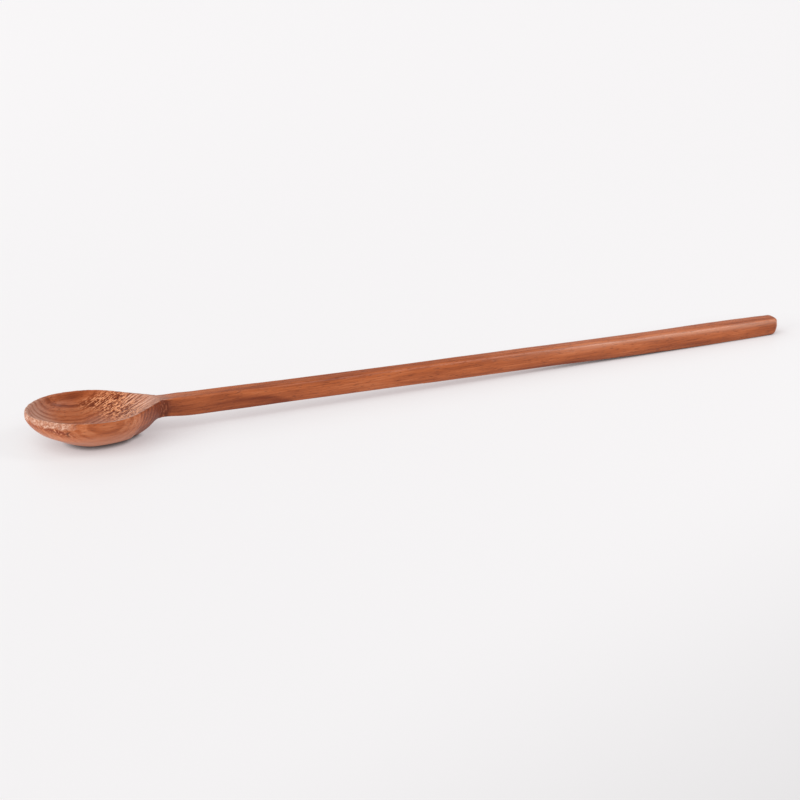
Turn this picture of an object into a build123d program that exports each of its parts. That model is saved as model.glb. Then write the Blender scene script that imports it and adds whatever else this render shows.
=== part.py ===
from build123d import *
import math
import os

# A long handled wooden spoon, cut from one piece of wood.
# Lengths are in millimetres. The spoon is drawn with the top of its blank at z = 0 and its tip at x = 0,
# then laid down as it rests: on the flat under its bowl and on the underside of the handle's far end.

# The whole spoon
overall_length = 350.0

# The bowl, seen from above: a rather pointed front, round shoulders and a straight taper to the neck
bowl_width = 42.8
widest_x = 26.0
tip_pull_share = 0.4
side_pull_share = 0.64
neck_x = 55.7
shoulder_radius = 24.0

# The belly under the bowl's upright edge, and the slope sawn from it up to the handle's underside
bowl_depth = 15.05
edge_height = 0.95
side_fullness = 1.95
tip_fullness = 1.64
keel_draw_share = 0.18
slope_angle = 34.0
slope_start_x = 55.8
base_trim = 0.25
belly_level_shares = (0.0, 0.15, 0.3, 0.45, 0.6, 0.74, 0.86, 0.94, 0.985)

# The hollow: round in front and at its sides, and rising more like a ramp towards the neck
hollow_depth = 10.6
hollow_rear_radius = 8.0
hollow_fullness = 2.0
ramp_fullness = 1.4
rim_width = 1.3
hollow_level_shares = (0.0, 0.2, 0.4, 0.6, 0.78, 0.9, 0.97, 0.995)

# The handle at four places: its width, its thickness, how far its sides bulge out past its flat top,
# and how far the edge of its underside is tucked in
neck_width = 7.5
neck_thickness = 7.6
neck_bulge = 0.3
neck_tuck = 0.6
middle_x = 200.0
middle_width = 7.9
middle_thickness = 7.8
middle_bulge = 1.5
middle_tuck = 1.1
swell_x = 316.0
swell_width = 8.7
swell_thickness = 8.1
swell_bulge = 1.0
swell_tuck = 1.7
end_width = 8.0
end_thickness = 7.3
end_bulge = 0.9
end_tuck = 1.5
end_chamfer = 2.0
bulge_height_share = 0.45

# How far a cutting solid runs past what it cuts
overrun = 5.0


def shell_share(depth_share, fullness):
    """How much of an outline is left at a share of the depth: all of it at the top, none at the bottom."""
    return (1 - depth_share**fullness) ** (1 / fullness)


def ramp_share(depth_share, fullness):
    """The same for the hollow's rear, which keeps its slope up to the rim."""
    return (1 - depth_share) ** (1 / fullness)


def shoulder_centre():
    return (widest_x, bowl_width / 2 - shoulder_radius)


def taper_angle():
    """The angle, in degrees, of the line from the neck's side that touches the round shoulder."""
    centre_x, centre_y = shoulder_centre()
    along = neck_x - centre_x
    across = neck_width / 2 - centre_y
    distance = math.hypot(along, across)
    return math.degrees(math.asin(shoulder_radius / distance) - math.atan2(across, along))


def front_curve(inset):
    """The far half of the bowl's round front, drawn in by an inset: from the tip to the widest place."""
    half_width = bowl_width / 2 - inset
    reach = widest_x - inset
    tip_pull = (inset, half_width * tip_pull_share)
    side_pull = (widest_x - reach * side_pull_share, half_width)
    return Bezier((inset, 0), tip_pull, side_pull, (widest_x, half_width))


def bowl_lines():
    """The far half of the bowl's outline. Its taper runs on to a point inside the handle."""
    angle = taper_angle()
    shoulder = CenterArc(shoulder_centre(), shoulder_radius, 90, -angle)
    apex_x = neck_x + neck_width / 2 / math.tan(math.radians(angle))
    return [front_curve(0), shoulder, Line(shoulder @ 1, (apex_x, 0))]


def hollow_lines():
    """The far half of the hollow's outline at the rim, with a round end towards the neck."""
    angle = taper_angle()
    turn = math.radians(angle)
    shoulder = CenterArc(shoulder_centre(), shoulder_radius - rim_width, 90, -angle)
    start = shoulder @ 1
    apex_x = start.X + start.Y / math.tan(turn)
    rear_centre = (apex_x - hollow_rear_radius / math.sin(turn), 0)
    rear = CenterArc(rear_centre, hollow_rear_radius, 90 - angle, angle - 90)
    return [front_curve(rim_width), shoulder, Line(start, rear @ 0), rear]


def level(lines, front_share, rear_share, side_share, depth):
    """One level of a lofted form: the outline's front, rear and sides, each shrunk by a share."""
    centre = (widest_x, 0, 0)
    front = scale(lines[0], by=(front_share, side_share, 1), about=centre)
    rear = [scale(line, by=(rear_share, side_share, 1), about=centre) for line in lines[1:]]
    far_half = [front, *rear]
    near_half = [line.mirror(Plane.XZ) for line in far_half]
    return Pos(0, 0, -depth) * make_face(far_half + near_half)


def belly():
    lines = bowl_lines()
    levels = []
    for share in belly_level_shares:
        front_share = shell_share(share, tip_fullness)
        rear_share = 1 - keel_draw_share * share**2
        side_share = shell_share(share, side_fullness)
        depth = edge_height + (bowl_depth - edge_height) * share
        levels.append(level(lines, front_share, rear_share, side_share, depth))
    edge = extrude(levels[0], amount=edge_height)
    return edge + loft(levels)


def slope_cutter():
    """What is sawn off below the neck, from the handle's underside down to the belly."""
    fall = bowl_depth + overrun - neck_thickness
    run = fall / math.tan(math.radians(slope_angle))
    profile = Polyline(
        (slope_start_x, -neck_thickness),
        (slope_start_x - run, -neck_thickness - fall),
        (slope_start_x + overrun, -neck_thickness - fall),
        (slope_start_x + overrun, -neck_thickness),
        close=True,
    )
    return extrude(Plane.XZ * make_face(profile), amount=bowl_width, both=True)


def hollow():
    lines = hollow_lines()
    levels = []
    for share in hollow_level_shares:
        round_share = shell_share(share, hollow_fullness)
        rear_share = ramp_share(share, ramp_fullness)
        levels.append(level(lines, round_share, rear_share, round_share, hollow_depth * share))
    return loft(levels) + extrude(levels[0], amount=overrun)


def handle_section(x, width, thickness, bulge, tuck):
    top_edge = (width / 2 - bulge, 0)
    widest = (width / 2, -thickness * bulge_height_share)
    bottom_edge = (width / 2 - tuck, -thickness)
    side = ThreePointArc(top_edge, widest, bottom_edge)
    other_side = side.mirror(Plane.YZ)
    lines = [side, other_side, Line(side @ 0, other_side @ 0), Line(side @ 1, other_side @ 1)]
    plane = Plane(origin=(x, 0, 0), x_dir=(0, 1, 0), z_dir=(1, 0, 0))
    return plane * make_face(lines)


def handle():
    sections = [
        handle_section(neck_x - overrun, neck_width, neck_thickness, neck_bulge, neck_tuck),
        handle_section(neck_x + overrun, neck_width, neck_thickness, neck_bulge, neck_tuck),
        handle_section(middle_x, middle_width, middle_thickness, middle_bulge, middle_tuck),
        handle_section(swell_x, swell_width, swell_thickness, swell_bulge, swell_tuck),
        handle_section(overall_length, end_width, end_thickness, end_bulge, end_tuck),
    ]
    body = loft(sections)
    end_face = body.faces().sort_by(Axis.X)[-1]
    return chamfer(end_face.edges(), end_chamfer)


def spoon_as_drawn():
    return belly() - slope_cutter() + handle() - hollow()


def at_rest(body):
    """Lays the spoon on its belly and its handle's end, with the middle of its box's underside at the origin."""
    drop = bowl_depth - base_trim - swell_thickness
    tilt = math.degrees(math.atan2(drop, swell_x - widest_x))
    leaning = Rot(0, tilt, 0) * body
    handle_underside = Rot(0, tilt, 0) * Pos(swell_x, 0, -swell_thickness)
    lifted = Pos(0, 0, -handle_underside.position.Z) * leaning
    box = lifted.bounding_box()
    return Pos(-(box.min.X + box.max.X) / 2, 0, 0) * lifted


def trimmed_flat(body):
    """Takes off what is left of the belly under z = 0, which is the flat that the spoon stands on."""
    below = Box(
        overall_length + overrun, bowl_width + overrun, overrun, align=(Align.CENTER, Align.CENTER, Align.MAX)
    )
    return body - below


os.makedirs("parts", exist_ok=True)
spoon = trimmed_flat(at_rest(spoon_as_drawn()))
spoon.label = "spoon"
export_step(spoon, "parts/spoon.step")
print("volume", round(spoon.volume), "solids", len(spoon.solids()), "box", spoon.bounding_box())
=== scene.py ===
import math

import bmesh
import bpy
import numpy as np
from mathutils import Matrix, Vector, noise


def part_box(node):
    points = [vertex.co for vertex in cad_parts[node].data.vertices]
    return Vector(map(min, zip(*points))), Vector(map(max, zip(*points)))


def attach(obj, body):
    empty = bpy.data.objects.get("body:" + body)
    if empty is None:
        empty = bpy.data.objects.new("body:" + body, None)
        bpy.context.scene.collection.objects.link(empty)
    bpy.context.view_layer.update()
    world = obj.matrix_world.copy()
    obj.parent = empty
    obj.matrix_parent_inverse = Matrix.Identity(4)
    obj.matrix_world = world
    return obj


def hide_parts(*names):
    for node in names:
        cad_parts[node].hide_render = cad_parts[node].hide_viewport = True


# The wooden spoon's looks: its carved surface, its wood, the table and the light.
# The surface is worked out in millimetres, with the top of the wood at z = 0 and the bowl's tip at x = 0,
# then put back where the CAD solid lies, in metres. The near side is the one with y below 0.

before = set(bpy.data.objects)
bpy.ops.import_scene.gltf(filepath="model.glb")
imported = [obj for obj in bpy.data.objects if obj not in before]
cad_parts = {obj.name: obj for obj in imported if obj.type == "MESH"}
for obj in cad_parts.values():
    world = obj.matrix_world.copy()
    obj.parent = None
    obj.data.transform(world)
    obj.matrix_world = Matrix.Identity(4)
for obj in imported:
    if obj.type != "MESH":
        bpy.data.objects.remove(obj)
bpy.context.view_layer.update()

MM = 0.001

# The solid's main sizes and places, in its drawn position
WIDEST_X = 26.0
BOWL_DEPTH = 15.05
BELLY_FLAT = 0.25
NECK_X = 55.7
HANDLE_START_X = 58.0
HANDLE_X = (60.7, 200.0, 316.0, 350.0)
HANDLE_WIDTH = (7.5, 7.9, 8.7, 8.0)
HANDLE_THICKNESS = (7.6, 7.8, 8.1, 7.3)
SWELL_X = HANDLE_X[2]
SWELL_THICKNESS = HANDLE_THICKNESS[2]

# Where the solid lies: on its belly and on the swell of its handle, so it leans by this angle
LEAN = math.atan2(BOWL_DEPTH - BELLY_FLAT - SWELL_THICKNESS, SWELL_X - WIDEST_X)

# The width of a growth ring, and the slope of the hollow's rear, along which torn grain runs
RING_PITCH = 1.9
RAMP_ANGLE = math.radians(27.0)

# A length that keeps a division away from zero, in mm
TINY = 0.001

# How far two noise fields with neighbouring seeds lie apart
SEED_STEP = 17.31


def smooth_step(value, start, end):
    """0 up to the start, 1 from the end on."""
    share = np.clip((value - start) / (end - start), 0.0, 1.0)
    return share * share * (3.0 - 2.0 * share)


def fade_out(value, start, end):
    """1 up to the start, 0 from the end on."""
    return 1.0 - smooth_step(value, start, end)


def between(value, start, full, fade, end):
    """1 from full to fade, 0 up to the start and from the end on."""
    return smooth_step(value, start, full) * fade_out(value, fade, end)


def peak(value, middle, width):
    """1 at the middle, falling to 0 on both sides."""
    return np.exp(-(((value - middle) / width) ** 2))


def noise_field(points, waves, seed):
    """Smooth noise from about -1 to 1 at each point. waves are its lengths in each direction, in mm."""
    scaled = points / np.array(waves) + seed * SEED_STEP
    return np.array([noise.noise(Vector(p)) for p in scaled])


# Things in the scene

def add_object(name, data):
    thing = bpy.data.objects.new(name, data)
    bpy.context.scene.collection.objects.link(thing)
    return thing


def toward(azimuth, elevation):
    """The direction in which a camera or a light stands. Both angles are in degrees."""
    turn, rise = math.radians(azimuth), math.radians(elevation)
    return Vector((math.sin(turn) * math.cos(rise), -math.cos(turn) * math.cos(rise), math.sin(rise)))


def face_away(thing, back):
    """Turns a camera or a light so that back is the direction behind it."""
    thing.rotation_euler = back.to_track_quat("Z", "Y").to_euler()


# The camera, at the photograph's angle

CAMERA_AZIMUTH = -26.4
CAMERA_ELEVATION = 19.0
CAMERA_DISTANCE = 1.2
CAMERA_TARGET = Vector((-0.01129, 0.0, -0.0035))
CAMERA_LENS = 129.0
CAMERA_SENSOR = 36.0
CAMERA_RANGE = (0.01, 50.0)


def make_camera():
    data = bpy.data.cameras.new("camera")
    data.lens = CAMERA_LENS
    data.sensor_width = CAMERA_SENSOR
    data.clip_start, data.clip_end = CAMERA_RANGE
    camera = add_object("camera", data)
    back = toward(CAMERA_AZIMUTH, CAMERA_ELEVATION)
    camera.location = CAMERA_TARGET + back * CAMERA_DISTANCE
    face_away(camera, back)
    bpy.context.scene.camera = camera


# The plain surface: its even grid, and how far its edges are softened

GRID = 0.45
JOIN_DISTANCE = 0.002
SOFTENING = 0.5
SOFTEN_ROUNDS = 3
LIP_ROUNDS = 7
END_ROUNDS = 10


def drawn_to_row():
    """The matrix from the drawn position, in mm, to the row frame, in metres."""
    lowest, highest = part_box("spoon")
    place = Matrix.Translation((lowest.x, 0.0, highest.z))
    return place @ Matrix.Rotation(LEAN, 4, "Y") @ Matrix.Scale(MM, 4)


def new_surface():
    """A copy of the solid's mesh with an even grid, in its drawn position, in mm."""
    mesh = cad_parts["spoon"].data.copy()
    mesh.transform(drawn_to_row().inverted())
    work = bmesh.new()
    work.from_mesh(mesh)
    bmesh.ops.remove_doubles(work, verts=work.verts, dist=JOIN_DISTANCE)
    work.to_mesh(mesh)
    work.free()
    mesh.materials.clear()
    piece = add_object("spoon_wood", mesh)
    remesh = piece.modifiers.new("grid", "REMESH")
    remesh.mode = "VOXEL"
    remesh.voxel_size = GRID
    even = piece.modifiers.new("soften", "SMOOTH")
    even.factor = SOFTENING
    even.iterations = SOFTEN_ROUNDS
    apply_modifiers(piece)
    return piece


def apply_modifiers(piece):
    graph = bpy.context.evaluated_depsgraph_get()
    result = bpy.data.meshes.new_from_object(piece.evaluated_get(graph))
    piece.modifiers.clear()
    old = piece.data
    piece.data = result
    bpy.data.meshes.remove(old)
    result.name = "spoon_wood"


def get_points(mesh):
    points = np.zeros(len(mesh.vertices) * 3)
    mesh.vertices.foreach_get("co", points)
    return points.reshape(-1, 3)


def get_normals(mesh):
    normals = np.zeros(len(mesh.vertices) * 3)
    mesh.vertex_normals.foreach_get("vector", normals)
    return normals.reshape(-1, 3)


def set_points(mesh, points):
    mesh.vertices.foreach_set("co", points.ravel())
    mesh.update()


def soften(mesh, weight, rounds):
    """Moves each point towards the middle of its neighbours, by its own weight."""
    points = get_points(mesh)
    ends = np.zeros(len(mesh.edges) * 2, dtype=np.int64)
    mesh.edges.foreach_get("vertices", ends)
    first, second = ends.reshape(-1, 2).T
    count = np.bincount(ends, minlength=len(points))[:, None]
    for _ in range(rounds):
        total = np.zeros_like(points)
        np.add.at(total, first, points[second])
        np.add.at(total, second, points[first])
        points += (total / count - points) * weight[:, None]
    set_points(mesh, points)


# Rounded edges: between which places along the spoon and in height they set in or fade, in mm

ROUNDED_X = (70.0, 200.0)
ROUNDED_UP_SHARES = (-0.2, 0.4)
ROUNDING_POWER = 3
LIP_X = (14.0, 27.0)
LIP_Z = (-3.5, -1.5)
LIP_PUSH = 0.25
LIP_FRONT_X = 0.02
END_X = (340.0, 346.0)


def round_handle(mesh):
    """Rounds the handle's upper edges, more and more from the neck to the middle of its length."""
    points = get_points(mesh)
    x, y, z = points.T
    half_width = np.interp(x, HANDLE_X, HANDLE_WIDTH) / 2
    half_thickness = np.interp(x, HANDLE_X, HANDLE_THICKNESS) / 2
    across = y / half_width
    up = z / half_thickness + 1.0
    reach = (np.abs(across) ** ROUNDING_POWER + np.abs(up) ** ROUNDING_POWER) ** (1 / ROUNDING_POWER)
    share = smooth_step(x, *ROUNDED_X) * smooth_step(up, *ROUNDED_UP_SHARES)
    shrink = 1.0 + share * (1.0 / np.maximum(reach, 1.0) - 1.0)
    points[:, 1] = y * shrink
    points[:, 2] = (up * shrink - 1.0) * half_thickness
    set_points(mesh, points)


def round_lip(mesh):
    """Rounds the rim at the bowl's front, which stays as wide as it was."""
    points = get_points(mesh)
    lip = smooth_step(points[:, 2], *LIP_Z) * fade_out(points[:, 0], *LIP_X)
    soften(mesh, lip * SOFTENING, LIP_ROUNDS)
    points = get_points(mesh)
    normals = get_normals(mesh)
    inward = normals[:, 0] * (WIDEST_X - points[:, 0]) - normals[:, 1] * points[:, 1]
    outward = np.clip(-inward, 0.0, 1.0)
    points += normals * (outward * lip * LIP_PUSH)[:, None]
    points[:, 0] = np.maximum(points[:, 0], LIP_FRONT_X)
    set_points(mesh, points)


def round_end(mesh):
    """Rounds the edges of the handle's end."""
    x = get_points(mesh)[:, 0]
    soften(mesh, smooth_step(x, *END_X) * SOFTENING, END_ROUNDS)


# What lies where on the surface: sides, growth rings and torn grain

UP_WEIGHT = 0.8
HOLLOW_FACING = (0.3, 0.7)
HOLLOW_END_X = (NECK_X - 1.0, NECK_X + 6.0)
NEAR_Y = (0.5, 2.5)
RING_OFFSET = 1.35
RING_WANDER = 2.0
RING_WAVER = 0.3
TORN_START_X = (35.0, 43.0)
TORN_START_SWING = 3.0
TORN_START_SLANT = 0.5
UNTORN_RIM = 4.5
UNTORN_RIM_SLANT = 1.8
TORN_LOSS_X = (42.0, 52.0)
TORN_LOSS_SWING = 0.3
TORN_LOSS = 0.75
RING_RIDGE = 0.5
BROKEN_RIDGE = 0.9

# Noise fields: the lengths of their waves in each direction, in mm, and their seeds
WANDER_NOISE = ((60.0, 30.0, 40.0), 1)
WAVER_NOISE = ((13.0, 7.0, 12.0), 10)
BREAK_NOISE = ((4.5, 1.2, 1.0), 2)
REACH_NOISE = ((12.0, 7.0, 7.0), 5)
HOLLOW_NOISE = ((5.0, 3.0, 3.0), 6)
PLANED_NOISE = ((18.0, 5.0, 5.0), 3)
RIPPLE_NOISE = ((4.0, 1.6, 1.6), 4)
TIP_NOISE = ((1.6, 1.4, 1.2), 7)
CORNER_NOISE = ((0.9, 1.4, 1.5), 8)
FRINGE_NOISE = ((2.2, 2.2, 1.6), 12)
HIGHLIGHT_NOISE = ((22.0, 3.0, 3.0), 13)


class Skin:
    """The surface before it is carved: its points, which way they face, and what lies where on it."""

    def __init__(self, mesh):
        self.points = get_points(mesh)
        self.normals = get_normals(mesh)
        self.x, self.y, self.z = self.points.T
        self.up = self.normals[:, 2]
        self.hollow = self.find_hollow()
        self.outside = 1.0 - self.hollow
        self.near = smooth_step(-self.y, *NEAR_Y)

        # Growth rings are upright planes along the spoon, which wander and waver a little
        self.waver = noise_field(self.points, *WAVER_NOISE)
        wander = noise_field(self.points, *WANDER_NOISE)
        self.ring = self.y + RING_OFFSET + RING_WANDER * wander + RING_WAVER * self.waver
        self.torn = self.find_torn_grain()

    def find_hollow(self):
        """1 on the hollow's surface and the rim's flat, 0 on the outside, soft between them."""
        to_axis = np.stack([WIDEST_X - self.x, -self.y], axis=1)
        to_axis /= np.maximum(np.linalg.norm(to_axis, axis=1), TINY)[:, None]
        inward = (to_axis * self.normals[:, :2]).sum(axis=1)
        return smooth_step(self.up * UP_WEIGHT + inward, *HOLLOW_FACING) * fade_out(self.x, *HOLLOW_END_X)

    def find_torn_grain(self):
        """1 where the grain is torn: the hollow's rear, less so near its rim and up to the neck."""
        reach = noise_field(self.points, *REACH_NOISE)
        in_rim = np.maximum(self.z + UNTORN_RIM, 0.0)
        start = self.x + TORN_START_SWING * reach + TORN_START_SLANT * self.y - UNTORN_RIM_SLANT * in_rim
        torn = smooth_step(start, *TORN_START_X) * self.hollow
        return torn * (1.0 - TORN_LOSS * smooth_step(self.x + TORN_LOSS_SWING * reach, *TORN_LOSS_X))


def torn_ridges(skin):
    """The height of the torn grain: short ridges along the rings, which run up the hollow's rear."""
    up_ramp = skin.x * math.cos(RAMP_ANGLE) + skin.z * math.sin(RAMP_ANGLE)
    off_ramp = skin.z * math.cos(RAMP_ANGLE) - skin.x * math.sin(RAMP_ANGLE)
    broken = noise_field(np.stack([up_ramp, skin.y, off_ramp], axis=1), *BREAK_NOISE)
    return RING_RIDGE * np.sin(skin.ring * 2.0 * math.pi / RING_PITCH) + BROKEN_RIDGE * broken


# Traces of the hand tool: their depths and where they lie, in mm. Two numbers are the ends of a soft edge,
# four are those of two soft edges with the trace between them.

TORN_DEPTH = 0.12
TORN_TOP_Z = (-1.2, -0.2)
TORN_TOP_LOSS = 0.8
HOLLOW_DEPTH = 0.05
PLANED_DEPTH = 0.06
RIPPLE_DEPTH = 0.025
HANDLE_PUSH = 0.3
HANDLE_PUSH_X = (58.0, 66.0)
HANDLE_PUSH_LOSS = 0.2
HANDLE_LOSS_X = (190.0, 260.0)
END_PUSH = 0.5
END_PUSH_X = (270.0, 330.0)
END_PUSH_FACING = (0.2, 0.7)
FRONT_PUSH = 0.5
FRONT_X = (14.0, 24.0)
FRONT_DOWN = (1.0, 3.0, 8.0, 11.0)
TIP_DEPTH = 0.12
TIP_X = (10.0, 24.0)
TIP_Z = (-6.5, -2.0)
CORNER_DEPTH = 0.2
CORNER_BEHIND_NECK = 0.6
CORNER_WIDTH = 2.4
CORNER_DOWN = (0.2, 1.2)
SLOPE_DEPTH = 0.9
SLOPE_X = (40.0, 44.5, 53.5, 56.0)
SLOPE_DOWN = (7.0, 8.5)
SLOPE_ASIDE = (1.0, 3.0)
SAG = 0.5
SAG_X = (55.0, 72.0, 110.0, 270.0)


def neck_corner(skin):
    """1 in the corner between the bowl's outside and the handle."""
    at_neck = peak(skin.x - NECK_X, CORNER_BEHIND_NECK, CORNER_WIDTH)
    return at_neck * smooth_step(-skin.z, *CORNER_DOWN) * skin.outside


def carved_points(skin, ridges, tip_cuts, corner):
    """The points moved along their normals by the tool's traces, and down where the handle sags."""
    x, z, outside = skin.x, skin.z, skin.outside

    # Torn ridges in the hollow's rear half, a slight wave in the rest of it
    height = skin.torn * (1.0 - TORN_TOP_LOSS * smooth_step(z, *TORN_TOP_Z)) * TORN_DEPTH * ridges
    height += skin.hollow * (1.0 - skin.torn) * HOLLOW_DEPTH * noise_field(skin.points, *HOLLOW_NOISE)

    # Planed faces with small ripples, a handle that is fuller near the neck and at its end's top
    height += outside * PLANED_DEPTH * noise_field(skin.points, *PLANED_NOISE)
    height += outside * RIPPLE_DEPTH * noise_field(skin.points, *RIPPLE_NOISE)
    fuller = HANDLE_PUSH - HANDLE_PUSH_LOSS * smooth_step(x, *HANDLE_LOSS_X)
    height += smooth_step(x, *HANDLE_PUSH_X) * fuller
    height += smooth_step(x, *END_PUSH_X) * smooth_step(skin.up, *END_PUSH_FACING) * END_PUSH

    # A fuller front, rough cuts at the bowl's tip and in the corners of the neck
    front = fade_out(x, *FRONT_X) * between(-z, *FRONT_DOWN)
    height += FRONT_PUSH * front * outside
    tip = fade_out(x, *TIP_X) * outside * smooth_step(z, *TIP_Z)
    height += tip * TIP_DEPTH * tip_cuts
    height += corner * CORNER_DEPTH * noise_field(skin.points, *CORNER_NOISE)

    # The slope below the neck is sawn a little deeper at its sides
    slope = between(x, *SLOPE_X)
    height -= SLOPE_DEPTH * slope * smooth_step(-z, *SLOPE_DOWN) * smooth_step(np.abs(skin.y), *SLOPE_ASIDE)
    points = skin.points + skin.normals * height[:, None]
    points[:, 2] -= SAG * between(x, *SAG_X)
    return points


# Marks in the wood, and painted light and shade: where they lie, in mm, how the surface faces there, and
# how strong they are.
# Where peak() takes two numbers, they are the middle and the width of the mark.

NECK_STREAK_X = (57.0, 88.0, 104.0, 120.0)
NECK_STREAK_TOP_Z = (0.3, -1.4, -3.6, -9.0)
NECK_STREAK_WAVER = 1.4
NECK_STREAK_EDGE = (-1.2, 1.2)
NECK_STREAK_START_X = (48.0, 56.0)


def neck_streak(skin):
    """A darker streak on the near side of the neck, which runs down to the lower edge."""
    top = np.interp(skin.x, NECK_STREAK_X, NECK_STREAK_TOP_Z)
    below = smooth_step(top - skin.z + NECK_STREAK_WAVER * skin.waver, *NECK_STREAK_EDGE)
    return below * skin.near * smooth_step(skin.x, *NECK_STREAK_START_X)


RAGGED_TURN_X = 8.0
RAGGED_SLANT = 0.2
RAGGED_X = (7.4, 5.6)
RAGGED_Z = (-3.4, 1.4)


def ragged_patch(skin):
    """A torn spot on the near side of the bowl's tip, longer than it is high."""
    level = skin.z + RAGGED_SLANT * (skin.x - RAGGED_TURN_X)
    return peak(skin.x, *RAGGED_X) * peak(level, *RAGGED_Z) * skin.near * skin.outside


# Where the painted sheen lies, and how strong it is
FLAT_FACING = (0.75, 0.92)
FLAT_Z = (-1.6, -0.6)
SHEEN_FLAT = 0.16
SHEEN_FLAT_X = (42.0, 48.0, 53.0, 62.0)
SHEEN_FRONT_X = (10.0, 24.0)
SHEEN_FRONT_SLANT = 0.35
SHEEN_REAR = 0.46
SHEEN_REAR_X = (34.0, 46.0)
SHEEN_REAR_SLANT = 0.6
SHEEN_WALL = 0.5
SHEEN_WALL_Y = (3.0, 12.0)
SHEEN_WALL_X = (30.0, 40.0)


def painted_sheen_mask(skin):
    """Painted sheen, greyish: on the flat before the neck, and on the hollow's front, rear and near side.
    """
    x, y, hollow = skin.x, skin.y, skin.hollow
    flat_top = smooth_step(skin.up, *FLAT_FACING) * smooth_step(skin.z, *FLAT_Z)
    painted_sheen = SHEEN_FLAT * flat_top * between(x, *SHEEN_FLAT_X)
    painted_sheen += hollow * fade_out(x + SHEEN_FRONT_SLANT * y, *SHEEN_FRONT_X)
    painted_sheen += SHEEN_REAR * hollow * smooth_step(x - SHEEN_REAR_SLANT * y, *SHEEN_REAR_X)
    painted_sheen += SHEEN_WALL * hollow * fade_out(y, *SHEEN_WALL_Y) * fade_out(x, *SHEEN_WALL_X)
    return np.clip(painted_sheen, 0.0, 1.0)


REAR = 0.8
REAR_X = (36.0, 44.0)
REAR_SLANT = 0.5
REAR_LOSS = 0.5
REAR_LOSS_X = (47.0, 52.0)


def hollow_rear(skin):
    """The hollow's rear, which shows threads of torn wood, fewer towards the neck."""
    rear = REAR * skin.hollow * smooth_step(skin.x - REAR_SLANT * skin.y, *REAR_X)
    return rear * (1.0 - REAR_LOSS * smooth_step(skin.x, *REAR_LOSS_X))


# A painted highlight on the handle's near upper edge
HIGHLIGHT_STRENGTH = 0.8
HIGHLIGHT_SWING = 0.5
HIGHLIGHT_X = (190.0, 260.0)
HIGHLIGHT_FACING = (0.57, 0.32)


def painted_highlight_edge(skin, carved):
    """A painted highlight that makes the handle's near upper edge paler."""
    painted_highlight = peak(skin.up, *HIGHLIGHT_FACING) * smooth_step(skin.x, *HIGHLIGHT_X) * skin.near
    return painted_highlight * (HIGHLIGHT_STRENGTH + HIGHLIGHT_SWING * noise_field(carved, *HIGHLIGHT_NOISE))


TOP_X = (60.0, 76.0, 170.0, 240.0)
TOP_FACING = (0.6, 0.9)


def top_side(skin):
    """The handle's top behind the neck."""
    return smooth_step(skin.up, *TOP_FACING) * between(skin.x, *TOP_X)


TOP_SHADE = 0.4
SIDE_SHADE = 1.2
SIDE_SHADE_X = (76.0, 110.0, 190.0, 230.0)
UNDER_SHADE_X = (200.0, 230.0)
UNDER_SHADE_FACING = (0.2, 0.7)
EDGE_SHADE = 3.0
EDGE_SHADE_X = (243.0, 16.0)
EDGE_SHADE_FACING = (0.0, 0.5)
END_SHADE = 3.0
END_SHADE_X = (316.0, 328.0)
END_SHADE_FACING = (0.93, 0.05)
WALL_SHADE = 1.3
WALL_SHADE_X = (12.0, 17.0, 38.0, 46.0)
WALL_SHADE_Z = (-5.5, -3.5)


def wood_shade(skin):
    """How much darker parts of the handle are, and how much lighter the upper part of the bowl's wall. The
    handle's top behind the neck and its underside and lower edge in its far half get painted shade.
    """
    x, up = skin.x, skin.up
    handle_shade = SIDE_SHADE * between(x, *SIDE_SHADE_X)
    handle_shade += smooth_step(-up, *UNDER_SHADE_FACING) * smooth_step(x, *UNDER_SHADE_X)
    handle_shade += EDGE_SHADE * smooth_step(-up, *EDGE_SHADE_FACING) * peak(x, *EDGE_SHADE_X)
    handle_shade += END_SHADE * peak(up, *END_SHADE_FACING) * smooth_step(x, *END_SHADE_X) * skin.near
    wall = skin.outside * smooth_step(skin.z, *WALL_SHADE_Z) * between(x, *WALL_SHADE_X)
    return TOP_SHADE * top_side(skin) + handle_shade - WALL_SHADE * wall


CRACK_X = 11.6
CRACK_WIDTH = 0.5
CRACK_SWING = 0.5
CRACK_BEND = 1.6
CRACK_BEND_Z = -3.0
CRACK_DOWN = (2.6, 3.2)
CRACK_Z = (-6.0, -5.0)


def tip_crack(skin):
    """A short wavy crack down the near side of the bowl's tip."""
    middle = CRACK_X + CRACK_SWING * np.sin((skin.z - CRACK_BEND_Z) * CRACK_BEND)
    height = smooth_step(-skin.z, *CRACK_DOWN) * smooth_step(skin.z, *CRACK_Z)
    return peak(skin.x, middle, CRACK_WIDTH) * height * skin.near * skin.outside


FRINGE_Z = (-2.5, -1.7)
FRINGE_Z_SWING = 0.8
FRINGE_X = (10.0, 15.0)
FRINGE_X_SWING = 2.0
FRINGE = 0.75
FRINGE_SWING = 0.5


def tip_band(skin, carved):
    """The cut end grain along the rim of the bowl's tip, with a fringed lower edge."""
    fringe = noise_field(carved, *FRINGE_NOISE)
    band = smooth_step(skin.z + FRINGE_Z_SWING * fringe, *FRINGE_Z) * (FRINGE + FRINGE_SWING * fringe)
    return np.clip(band, 0.0, 1.0) * fade_out(skin.x + FRINGE_X_SWING * fringe, *FRINGE_X) * skin.outside


TAPER_X = (38.0, 50.0, 57.0, 60.0)


def taper(skin):
    """The outside of the bowl where it narrows to the neck."""
    return between(skin.x, *TAPER_X) * skin.outside


LOWER_DOWN = (5.0, 7.5)
LOWER_X = (34.0, 44.0)


def lower_wall(skin):
    """The lower part of the bowl's outside, made paler by painted light and reflection from the floor."""
    return skin.outside * smooth_step(-skin.z, *LOWER_DOWN) * fade_out(skin.x, *LOWER_X)


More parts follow.
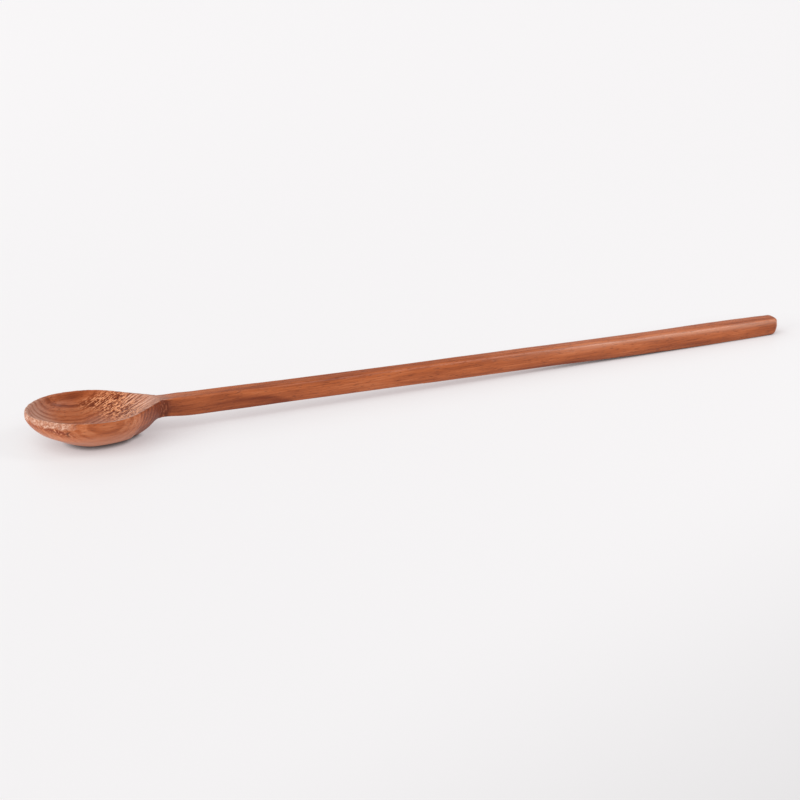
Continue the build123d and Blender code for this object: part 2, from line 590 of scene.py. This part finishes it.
def carve(mesh):
    """Cuts the surface and stores at each point what the wood's material reads by its name."""
    round_handle(mesh)
    round_lip(mesh)
    round_end(mesh)
    skin = Skin(mesh)
    ridges = torn_ridges(skin)
    tip_cuts = noise_field(skin.points, *TIP_NOISE)
    corner = neck_corner(skin)
    carved = carved_points(skin, ridges, tip_cuts, corner)
    set_points(mesh, carved)
    marks = {
        "ring": skin.ring,
        "torn": skin.torn,
        "rear": hollow_rear(skin),
        "relief": ridges,
        "tip": tip_band(skin, carved),
        "shade": wood_shade(skin),
        "painted_highlight": painted_highlight_edge(skin, carved),
        "top_side": top_side(skin),
        "painted_sheen": painted_sheen_mask(skin),
        "crack": tip_crack(skin),
        "tip_relief": tip_cuts,
        "corner": corner,
        "dark_streak": neck_streak(skin),
        "taper": taper(skin),
        "lower": lower_wall(skin),
        "ragged": ragged_patch(skin),
        "hollow": skin.hollow,
    }
    for name, values in marks.items():
        layer = mesh.attributes.new(name, "FLOAT", "POINT")
        layer.data.foreach_set("value", np.ascontiguousarray(values, dtype=np.float32))
    make_map(mesh, skin.hollow)


# The UV map of the baked look, laid out in mm: sizes of its strips and the middles of its discs

MAP_SIZE = 150.0
MAP_MARGIN = 1.0
STRIPS = 4
STRIP_LENGTH = 74.0
STRIP_WIDTH = 28.0
STRIP_PITCH = 31.0
END_FACE_X = (343.0, 349.0)
END_RADIUS = 4.5
INSIDE_DISC = (112.0, 116.0)
INSIDE_DEPTH = 11.0
INSIDE_SPREAD = 0.6
OUTSIDE_DISC = (114.0, 38.0)
OUTSIDE_DEPTH = 15.0
OUTSIDE_SPREAD = 0.7


def unrolled_handle(points, middle):
    """The handle in strips side by side, by the angle round its axis and the length along it."""
    x, y, z = points.T
    axis_z = -np.interp(x, HANDLE_X, HANDLE_THICKNESS) / 2
    turn = np.arctan2(middle[1], middle[2] - axis_z)
    turn += np.remainder(np.arctan2(y, z - axis_z) - turn + math.pi, 2.0 * math.pi) - math.pi
    radius = np.hypot(y, z - axis_z)
    along = x - HANDLE_START_X + smooth_step(x, *END_FACE_X) * (END_RADIUS - radius)
    strip = np.clip(np.floor((middle[0] - HANDLE_START_X) / STRIP_LENGTH), 0, STRIPS - 1)
    u = MAP_MARGIN + along - STRIP_LENGTH * strip
    v = STRIP_PITCH / 2 + turn * STRIP_WIDTH / 2 / math.pi + STRIP_PITCH * strip
    return u, v


def spread_bowl(points, inside):
    """The bowl as two discs, by the direction from its middle and the way over the surface."""
    x, y, z = points.T
    way_x = x - WIDEST_X
    flat = np.maximum(np.hypot(way_x, y), TINY)
    rise = np.where(inside, INSIDE_SPREAD * (z + INSIDE_DEPTH), OUTSIDE_SPREAD * (z + OUTSIDE_DEPTH))
    grow = (flat + np.maximum(rise, 0.0)) / flat
    u = np.where(inside, INSIDE_DISC[0], OUTSIDE_DISC[0]) + y * grow
    v = np.where(inside, INSIDE_DISC[1], OUTSIDE_DISC[1]) + way_x * grow
    return u, v


def make_map(mesh, hollow):
    """Maps each face by the side of the spoon on which its middle lies."""
    corners = np.zeros(len(mesh.loops), dtype=np.int64)
    mesh.loops.foreach_get("vertex_index", corners)
    counts = np.zeros(len(mesh.polygons), dtype=np.int64)
    mesh.polygons.foreach_get("loop_total", counts)
    face = np.repeat(np.arange(len(counts)), counts)
    points = get_points(mesh)[corners]
    middle = np.stack([np.bincount(face, points[:, k]) / counts for k in range(3)])[:, face]
    inside = (np.bincount(face, hollow[corners]) / counts)[face] > 0.5
    on_handle = middle[0] > HANDLE_START_X
    handle_and_bowl = zip(unrolled_handle(points, middle), spread_bowl(points, inside))
    uv = np.stack([np.where(on_handle, handle, bowl) for handle, bowl in handle_and_bowl], axis=1)
    layer = mesh.uv_layers.new(name="OFBake")
    layer.data.foreach_set("uv", np.clip(uv / MAP_SIZE, 0.0, 1.0).ravel())


# Materials

class Nodes:
    """A short way to add nodes and wire them up."""

    def __init__(self, material):
        material.use_nodes = True
        self.tree = material.node_tree
        self.tree.nodes.clear()

    def add(self, kind, **settings):
        node = self.tree.nodes.new(kind)
        for name, value in settings.items():
            setattr(node, name, value)
        return node

    def fill(self, socket, value):
        """Wires another node's output to the socket, or sets its value."""
        if isinstance(value, bpy.types.NodeSocket):
            self.tree.links.new(value, socket)
        else:
            socket.default_value = value

    def math(self, operation, first, second=0.0, clamp=False):
        node = self.add("ShaderNodeMath", operation=operation, use_clamp=clamp)
        self.fill(node.inputs[0], first)
        self.fill(node.inputs[1], second)
        return node.outputs[0]

    def plus(self, first, *others):
        for other in others:
            first = self.math("ADD", first, other)
        return first

    def times(self, first, *others):
        for other in others:
            first = self.math("MULTIPLY", first, other)
        return first

    def place(self):
        """The place on the object, in metres."""
        return self.add("ShaderNodeTexCoord").outputs["Object"]

    def mapped(self, vector, **settings):
        """The place moved, turned or scaled."""
        node = self.add("ShaderNodeMapping", vector_type="POINT")
        self.fill(node.inputs["Vector"], vector)
        for name, value in settings.items():
            node.inputs[name].default_value = value
        return node.outputs["Vector"]

    def noise(self, vector, fineness, detail, roughness, move=(0.0, 0.0, 0.0)):
        """Noise with its own number of waves per mm in each direction."""
        node = self.add("ShaderNodeTexNoise")
        self.fill(node.inputs["Vector"], self.mapped(vector, Scale=fineness, Location=move))
        node.inputs["Scale"].default_value = 1.0
        node.inputs["Detail"].default_value = detail
        node.inputs["Roughness"].default_value = roughness
        return node.outputs["Fac"]

    def range(self, value, low, high, to_low=0.0, to_high=1.0, smooth=True):
        """The value with low turned into to_low, high into to_high, and what lies between them too."""
        node = self.add("ShaderNodeMapRange")
        node.interpolation_type = "SMOOTHSTEP" if smooth else "LINEAR"
        self.fill(node.inputs["Value"], value)
        node.inputs["From Min"].default_value = low
        node.inputs["From Max"].default_value = high
        node.inputs["To Min"].default_value = to_low
        node.inputs["To Max"].default_value = to_high
        return node.outputs["Result"]

    def mix(self, share, first, second):
        node = self.add("ShaderNodeMix", data_type="RGBA", blend_type="MIX")
        self.fill(node.inputs["Factor"], share)
        self.fill(node.inputs[6], first)
        self.fill(node.inputs[7], second)
        return node.outputs[2]

    def tint(self, color, share, shown, strength):
        """The colour covered with another one, which is given as seen on a screen."""
        return self.mix(self.times(share, strength), color, linear(*shown))

    def mark(self, name):
        """A number stored at the mesh's points."""
        node = self.add("ShaderNodeAttribute", attribute_type="GEOMETRY", attribute_name=name)
        return node.outputs["Fac"]

    def ramp(self, value, stops):
        node = self.add("ShaderNodeValToRGB")
        self.fill(node.inputs["Fac"], value)
        points = node.color_ramp.elements
        while len(points) < len(stops):
            points.new(0.5)
        for point, (position, shown) in zip(points, stops):
            point.position = position
            point.color = linear(*shown)
        return node.outputs["Color"]

    def shade(self, **settings):
        """The surface shader, wired to the material's output."""
        shader = self.add("ShaderNodeBsdfPrincipled")
        for name, value in settings.items():
            self.fill(shader.inputs[name.replace("_", " ")], value)
        out = self.add("ShaderNodeOutputMaterial")
        self.fill(out.inputs["Surface"], shader.outputs["BSDF"])


def linear(red, green, blue):
    """A colour given as seen on a screen, 0 to 255, as linear light."""

    def one(value):
        value = value / 255.0
        return value / 12.92 if value <= 0.04045 else ((value + 0.055) / 1.055) ** 2.4

    return (one(red), one(green), one(blue), 1.0)


# The plain wood's colours, as seen on a screen

LIGHT_WOOD = (207, 131, 89)
MIDDLE_WOOD = (175, 93, 51)
DARK_WOOD = (118, 50, 22)

# Marks in the wood, and painted light and shade: their colour as seen on a screen, and how strongly it
# covers the wood
PORE = ((96, 40, 18), 0.5)
# Painted light and reflection from the floor on the lower wall
LOWER_WALL_PAINTED_LIGHT = ((206, 136, 104), 0.35)
RAGGED_WOOD = ((122, 46, 20), 0.9)
RAGGED_BIT = ((232, 158, 118), 0.8)
# The painted sheen
PAINTED_SHEEN_COLOR = ((192, 152, 134), 1.0)
# The painted highlight on the handle's edge
PAINTED_HIGHLIGHT_COLOR = ((230, 178, 152), 0.36)
CRACK = ((92, 40, 22), 0.8)
# Painted shade in the torn grain's pits and painted highlights on its raised fibres
TORN_PIT_SHADE = ((100, 40, 20), 0.95)
TORN_FIBRE_HIGHLIGHT = ((244, 172, 126), 0.95)
PALE_THREAD = ((240, 196, 172), 1.0)
DARK_THREAD = ((120, 62, 40), 1.0)
# End grain at the tip, whose paleness is partly painted sheen
END_GRAIN_AND_SHEEN = ((204, 156, 132), 0.74)
PALE_FLECK = ((244, 208, 184), 0.7)
DARK_FLECK = ((138, 74, 48), 0.5)
# Tool marks with painted shade in the neck's corners, and painted light between them
TOOL_MARK_AND_SHADE = ((98, 48, 28), 0.6)
CORNER_PAINTED_LIGHT = ((204, 128, 92), 0.4)

# Noise in the wood: waves per mm in each direction, detail, roughness, and where needed a move
RING_STRENGTH = ((0.03, 0.22, 0.22), 1.0, 0.5, (3.0, 0.0, 0.0))
FIBRES = ((0.08, 1.7, 1.7), 4.0, 0.6)
STREAKS = ((0.022, 0.42, 0.42), 3.0, 0.55)
PORES = ((0.3, 2.6, 2.6), 1.0, 0.4)
PATCHES = ((0.018, 0.07, 0.07), 3.0, 0.55, (7.3, 2.0, 0.0))
RAGS = ((0.5, 1.6, 1.6), 3.0, 0.65)
BITS = ((0.9, 1.4, 1.8), 1.0, 0.5, (0.0, 9.0, 0.0))
GROOVES = ((0.22, 1.9, 1.5), 2.0, 0.6)
SPECKS = ((0.8, 2.4, 2.2), 1.0, 0.5, (5.0, 0.0, 0.0))
THREADS = ((0.1, 1.9, 0.6), 2.0, 0.6, (0.0, 4.0, 0.0))
FLECKS = ((1.5, 1.2, 1.5), 2.0, 0.6)
STROKES = ((1.8, 1.0, 0.5), 2.0, 0.6, (0.0, 0.0, 6.0))

# Values of the noise between which a mark goes from absent to full
PORE_RANGE = (0.60, 0.72)
RAG_RANGE = (0.66, 0.54)
BIT_RANGE = (0.56, 0.66)
PIT_RANGE = (0.06, -0.24)
FIBRE_RANGE = (0.06, 0.38)
PALE_THREAD_RANGE = (0.54, 0.66)
DARK_THREAD_RANGE = (0.46, 0.36)
PALE_FLECK_RANGE = (0.48, 0.66)
DARK_FLECK_RANGE = (0.46, 0.34)
TOOL_MARK_RANGE = (0.5, 0.38)
CORNER_LIGHT_RANGE = (0.5, 0.62)

# A ring darkens and ends at these shares of its width, and its strength follows noise and place
LATE_START = (0.25, 0.8)
LATE_END = (1.0, 0.82)
LATE_STRENGTH = (0.3, 0.65, 0.35, 1.0)
LATE_EVERYWHERE = 0.62
LATE_IN_HOLLOW = 0.52
LATE_ON_TAPER = 0.9
LATE_LOSS_TORN = 0.5

# The painted sheen covers the rings' dark part less than the rest
SHEEN_BY_LATE = (0.0, 0.9, 0.86, 0.42)

# Torn grain: the shares of grooves, specks and the surface's own ridges
GROOVE_SHARE = 1.05
SPECK_SHARE = 1.2
SHRED_MIDDLE = 1.11
SHRED_CONTRAST = 2.2
RIDGE_SHARE = 0.18

# The share of the tool's cuts in the pale flecks of the tip
CUT_SHARE = 0.12

# Where the colours from light to dark stand on the scale of tones, and what darkens the wood
TONES = ((0.0, LIGHT_WOOD), (0.45, MIDDLE_WOOD), (1.0, DARK_WOOD))
TONE_START = 0.37
RING_TONE = 0.42
FIBRE_TONE = 0.8
STREAK_TONE = 0.7
PATCH_TONE = 0.7
MARK_TONES = {"dark_streak": 0.36, "taper": 0.43, "shade": 0.1}

# Roughness everywhere, in the hollow, on the handle's top and on fibres
ROUGHNESS = 0.23
HOLLOW_ROUGHNESS = 0.08
TOP_ROUGHNESS = 0.3
FIBRE_ROUGHNESS = 0.25

# Heights in the fine relief, as shares of BUMP_HEIGHT
FIBRE_RELIEF = 0.5
PORE_RELIEF = -0.8
RING_RELIEF = 0.25
SHRED_RELIEF = 1.6

# The oiled surface
WOOD_IOR = 1.45
WOOD_SHEEN = 0.27
BUMP_STRENGTH = 0.35
BUMP_HEIGHT = 0.0002


class Wood:
    """What the wood's colour, gloss and relief share."""

    def __init__(self, n):
        self.n = n
        self.grain = n.mapped(n.place(), Scale=(1.0 / MM, 1.0 / MM, 1.0 / MM))
        self.torn = n.mark("torn")
        self.hollow = n.mark("hollow")
        self.late = self.late_wood()
        self.fibre = n.noise(self.grain, *FIBRES)
        self.pore = n.range(n.noise(self.grain, *PORES), *PORE_RANGE)
        self.on_ramp = n.mapped(self.grain, Rotation=(0.0, RAMP_ANGLE, 0.0))
        self.shreds = self.torn_shreds()

    def late_wood(self):
        """The dark part of each growth ring, strongest in the hollow and on the bowl's taper."""
        n = self.n
        ring = n.math("FRACT", n.math("DIVIDE", n.mark("ring"), RING_PITCH))
        late = n.times(n.range(ring, *LATE_START), n.range(ring, *LATE_END))
        strength = n.noise(self.grain, *RING_STRENGTH)
        late = n.times(late, n.range(strength, *LATE_STRENGTH))
        late = n.times(late, n.math("SUBTRACT", 1.0, n.times(self.torn, LATE_LOSS_TORN)))
        shown = n.plus(n.times(self.hollow, LATE_IN_HOLLOW), n.times(n.mark("taper"), LATE_ON_TAPER))
        return n.times(late, n.plus(LATE_EVERYWHERE, shown))

    def torn_shreds(self):
        """Torn grain: high where fibres stand up, which get a painted highlight, low in pits, which get
        painted shade.
        """
        n = self.n
        grooves = n.noise(self.on_ramp, *GROOVES)
        specks = n.noise(self.on_ramp, *SPECKS)
        shreds = n.plus(n.times(grooves, GROOVE_SHARE), n.times(specks, SPECK_SHARE))
        shreds = n.math("SUBTRACT", shreds, SHRED_MIDDLE)
        return n.plus(n.times(shreds, SHRED_CONTRAST), n.times(n.mark("relief"), RIDGE_SHARE))


def plain_wood(n, wood):
    """The colour of rings, fibres and pores."""
    tone = n.times(wood.late, RING_TONE)
    streak = n.noise(wood.grain, *STREAKS)
    patch = n.noise(wood.grain, *PATCHES)
    for value, amount in ((wood.fibre, FIBRE_TONE), (streak, STREAK_TONE), (patch, PATCH_TONE)):
        tone = n.plus(tone, n.times(n.math("SUBTRACT", value, 0.5), amount))
    for name, amount in MARK_TONES.items():
        tone = n.plus(tone, n.times(n.mark(name), amount))
    tone = n.math("ADD", tone, TONE_START, clamp=True)
    return n.tint(n.ramp(tone, TONES), wood.pore, *PORE)


def mark_bowl_and_handle(n, wood, color):
    """The lower wall's painted light, the ragged patch at the tip, the painted sheen, the painted highlight
    on the handle's edge and the crack.
    """
    color = n.tint(color, n.mark("lower"), *LOWER_WALL_PAINTED_LIGHT)
    ragged = n.mark("ragged")
    rags = n.range(n.noise(wood.grain, *RAGS), *RAG_RANGE)
    bits = n.range(n.noise(wood.grain, *BITS), *BIT_RANGE)
    color = n.tint(color, n.times(ragged, rags), *RAGGED_WOOD)
    color = n.tint(color, n.times(ragged, bits), *RAGGED_BIT)
    painted_sheen = n.times(n.mark("painted_sheen"), n.range(wood.late, *SHEEN_BY_LATE, smooth=False))
    color = n.tint(color, painted_sheen, *PAINTED_SHEEN_COLOR)
    color = n.tint(color, n.mark("painted_highlight"), *PAINTED_HIGHLIGHT_COLOR)
    return n.tint(color, n.mark("crack"), *CRACK)


def mark_torn_grain(n, wood, color):
    """Painted shade in pits and painted highlights on raised fibres of the torn grain in the hollow, and
    threads along its rear.
    """
    color = n.tint(color, n.times(wood.torn, n.range(wood.shreds, *PIT_RANGE)), *TORN_PIT_SHADE)
    color = n.tint(color, n.times(wood.torn, n.range(wood.shreds, *FIBRE_RANGE)), *TORN_FIBRE_HIGHLIGHT)
    threads = n.noise(wood.on_ramp, *THREADS)
    rear = n.mark("rear")
    color = n.tint(color, n.times(rear, n.range(threads, *PALE_THREAD_RANGE)), *PALE_THREAD)
    return n.tint(color, n.times(rear, n.range(threads, *DARK_THREAD_RANGE)), *DARK_THREAD)


def mark_tip(n, wood, color):
    """Cut end grain at the bowl's tip: pale and dark flecks in a pinkish brown, whose paleness is partly
    painted sheen.
    """
    tip = n.mark("tip")
    flecks = n.noise(wood.grain, *FLECKS)
    raised = n.plus(flecks, n.times(n.mark("tip_relief"), CUT_SHARE))
    color = n.tint(color, tip, *END_GRAIN_AND_SHEEN)
    color = n.tint(color, n.times(tip, n.range(raised, *PALE_FLECK_RANGE)), *PALE_FLECK)
    return n.tint(color, n.times(tip, n.range(flecks, *DARK_FLECK_RANGE)), *DARK_FLECK)


def mark_neck_corners(n, wood, color):
    """Dark strokes in the corners of the neck, which are tool marks and painted shade, and pale marks of
    painted light between them.
    """
    corner = n.mark("corner")
    strokes = n.noise(wood.grain, *STROKES)
    color = n.tint(color, n.times(corner, n.range(strokes, *TOOL_MARK_RANGE)), *TOOL_MARK_AND_SHADE)
    return n.tint(color, n.times(corner, n.range(strokes, *CORNER_LIGHT_RANGE)), *CORNER_PAINTED_LIGHT)


def wood_roughness(n, wood):
    """The handle's top is the roughest, the hollow a little rougher than the outside."""
    matt = n.plus(n.times(wood.hollow, HOLLOW_ROUGHNESS), n.times(n.mark("top_side"), TOP_ROUGHNESS))
    return n.plus(n.times(wood.fibre, FIBRE_ROUGHNESS), n.plus(matt, ROUGHNESS))


def wood_relief(n, wood):
    """The fine relief of fibres, pores, rings and torn grain, as a change of the normal."""
    relief = n.plus(n.times(wood.fibre, FIBRE_RELIEF), n.times(wood.pore, PORE_RELIEF))
    relief = n.plus(relief, n.times(wood.late, RING_RELIEF))
    relief = n.plus(relief, n.times(wood.torn, wood.shreds, SHRED_RELIEF))
    bump = n.add("ShaderNodeBump")
    bump.inputs["Strength"].default_value = BUMP_STRENGTH
    bump.inputs["Distance"].default_value = BUMP_HEIGHT
    n.fill(bump.inputs["Height"], relief)
    return bump.outputs["Normal"]


def wood_material():
    material = bpy.data.materials.new("oiled_wood")
    n = Nodes(material)
    wood = Wood(n)
    color = plain_wood(n, wood)
    color = mark_bowl_and_handle(n, wood, color)
    color = mark_torn_grain(n, wood, color)
    color = mark_tip(n, wood, color)
    color = mark_neck_corners(n, wood, color)
    n.shade(
        Base_Color=color,
        Roughness=wood_roughness(n, wood),
        IOR=WOOD_IOR,
        Specular_IOR_Level=WOOD_SHEEN,
        Normal=wood_relief(n, wood),
    )
    return material


def make_spoon():
    piece = new_surface()
    mesh = piece.data
    carve(mesh)
    mesh.transform(drawn_to_row())
    lowest, highest = (np.array(corner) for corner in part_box("spoon"))
    set_points(mesh, np.clip(get_points(mesh), lowest, highest))
    mesh.materials.append(wood_material())
    mesh.polygons.foreach_set("use_smooth", [True] * len(mesh.polygons))
    mesh.update()
    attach(piece, "root")
    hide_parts("spoon")


# The table, in metres. It glows faintly, so that shadows on it are weak.

TABLE_HALF = 4.0
TABLE_COLOR = (0.16, 0.157, 0.158, 1.0)
TABLE_ROUGHNESS = 0.5
TABLE_SHEEN = 0.2
GLOW_SLANT = (0.45, -0.9, 0.0)
GLOW_NEAR = (0.15, 0.42, 0.715, 0.56)
GLOW_FAR = (0.0, 0.75, 0.0, 0.025)
OPEN_SAMPLES = 8
CONTACT_REACH = 0.003
CONTACT_GLOW = (0.02, 0.5, 0.05, 1.0)
SHADE_REACH = 0.03
SHADE_NORMAL = (-0.74, -0.4, 0.54)
SHADE_GLOW = (0.45, 0.91, 0.56, 1.0)
SHADE_COLOR_RANGE = (0.95, 0.5)
OPEN_GLOW_COLOR = (1.0, 0.985, 0.992, 1.0)
SHADED_GLOW_COLOR = (1.0, 0.89, 0.9, 1.0)


def open_share(n, reach, normal=None):
    """How open the table is to the sides that a normal points at: 1 in the open, 0 in a closed corner."""
    node = n.add("ShaderNodeAmbientOcclusion", samples=OPEN_SAMPLES)
    node.inputs["Distance"].default_value = reach
    if normal:
        tilted = n.add("ShaderNodeCombineXYZ")
        for axis, value in zip("XYZ", normal):
            tilted.inputs[axis].default_value = value
        n.fill(node.inputs["Normal"], tilted.outputs["Vector"])
    return node.outputs["AO"]


def table_material():
    material = bpy.data.materials.new("table_top")
    n = Nodes(material)
    place = n.place()

    # The glow is weaker in front and stronger far behind
    toward_front = n.add("ShaderNodeVectorMath", operation="DOT_PRODUCT")
    n.fill(toward_front.inputs[0], place)
    toward_front.inputs[1].default_value = GLOW_SLANT
    split = n.add("ShaderNodeSeparateXYZ")
    n.fill(split.inputs[0], place)
    near_glow = n.range(toward_front.outputs["Value"], *GLOW_NEAR)
    far_glow = n.range(split.outputs["Y"], *GLOW_FAR)

    # It is weaker close under the spoon and where the spoon hides the left, and there a little reddish
    contact = open_share(n, CONTACT_REACH)
    leftward = open_share(n, SHADE_REACH, SHADE_NORMAL)
    close_glow = n.range(contact, *CONTACT_GLOW)
    left_glow = n.range(leftward, *SHADE_GLOW, smooth=False)
    shaded = n.range(leftward, *SHADE_COLOR_RANGE, smooth=False)
    n.shade(
        Base_Color=TABLE_COLOR,
        Roughness=TABLE_ROUGHNESS,
        Specular_IOR_Level=TABLE_SHEEN,
        Emission_Color=n.mix(shaded, OPEN_GLOW_COLOR, SHADED_GLOW_COLOR),
        Emission_Strength=n.times(n.plus(near_glow, far_glow), close_glow, left_glow),
    )
    return material


def make_table():
    mesh = bpy.data.meshes.new("table")
    corners = [(x * TABLE_HALF, y * TABLE_HALF, 0.0) for x, y in ((-1, -1), (1, -1), (1, 1), (-1, 1))]
    mesh.from_pydata(corners, [], [(0, 1, 2, 3)])
    table = add_object("table", mesh)
    mesh.materials.append(table_material())


# The light

ROOM_COLOR = (1.0, 0.985, 0.99, 1.0)
ROOM_STRENGTH = 0.55


def distant_light(name, azimuth, elevation, spread, strength, glossy=True):
    """A soft light far away. Its angles and its spread are in degrees."""
    data = bpy.data.lights.new(name, "SUN")
    data.energy = strength
    data.angle = math.radians(spread)
    light = add_object(name, data)
    face_away(light, toward(azimuth, elevation))
    light.visible_glossy = glossy


def near_light(name, place, target, side, power):
    """A square soft box near the spoon, in metres and watts."""
    data = bpy.data.lights.new(name, "AREA")
    data.shape = "SQUARE"
    data.size = side
    data.energy = power
    light = add_object(name, data)
    light.location = place
    face_away(light, Vector(place) - Vector(target))


def make_light():
    """A low light from the left, which gives no glare, one from behind, one on the right, and the room."""
    distant_light("light_left", azimuth=286.0, elevation=13.0, spread=30.0, strength=1.9, glossy=False)
    distant_light("light_behind", azimuth=180.0, elevation=38.0, spread=36.0, strength=0.45)
    near_light("light_right", place=(0.55, -0.42, 0.72), target=(0.1, 0.0, 0.0), side=0.35, power=4.2)
    world = bpy.data.worlds.new("room")
    world.use_nodes = True
    background = world.node_tree.nodes["Background"]
    background.inputs["Color"].default_value = ROOM_COLOR
    background.inputs["Strength"].default_value = ROOM_STRENGTH
    bpy.context.scene.world = world
    bpy.context.scene.view_settings.view_transform = "Standard"


make_camera()
make_spoon()
make_table()
make_light()
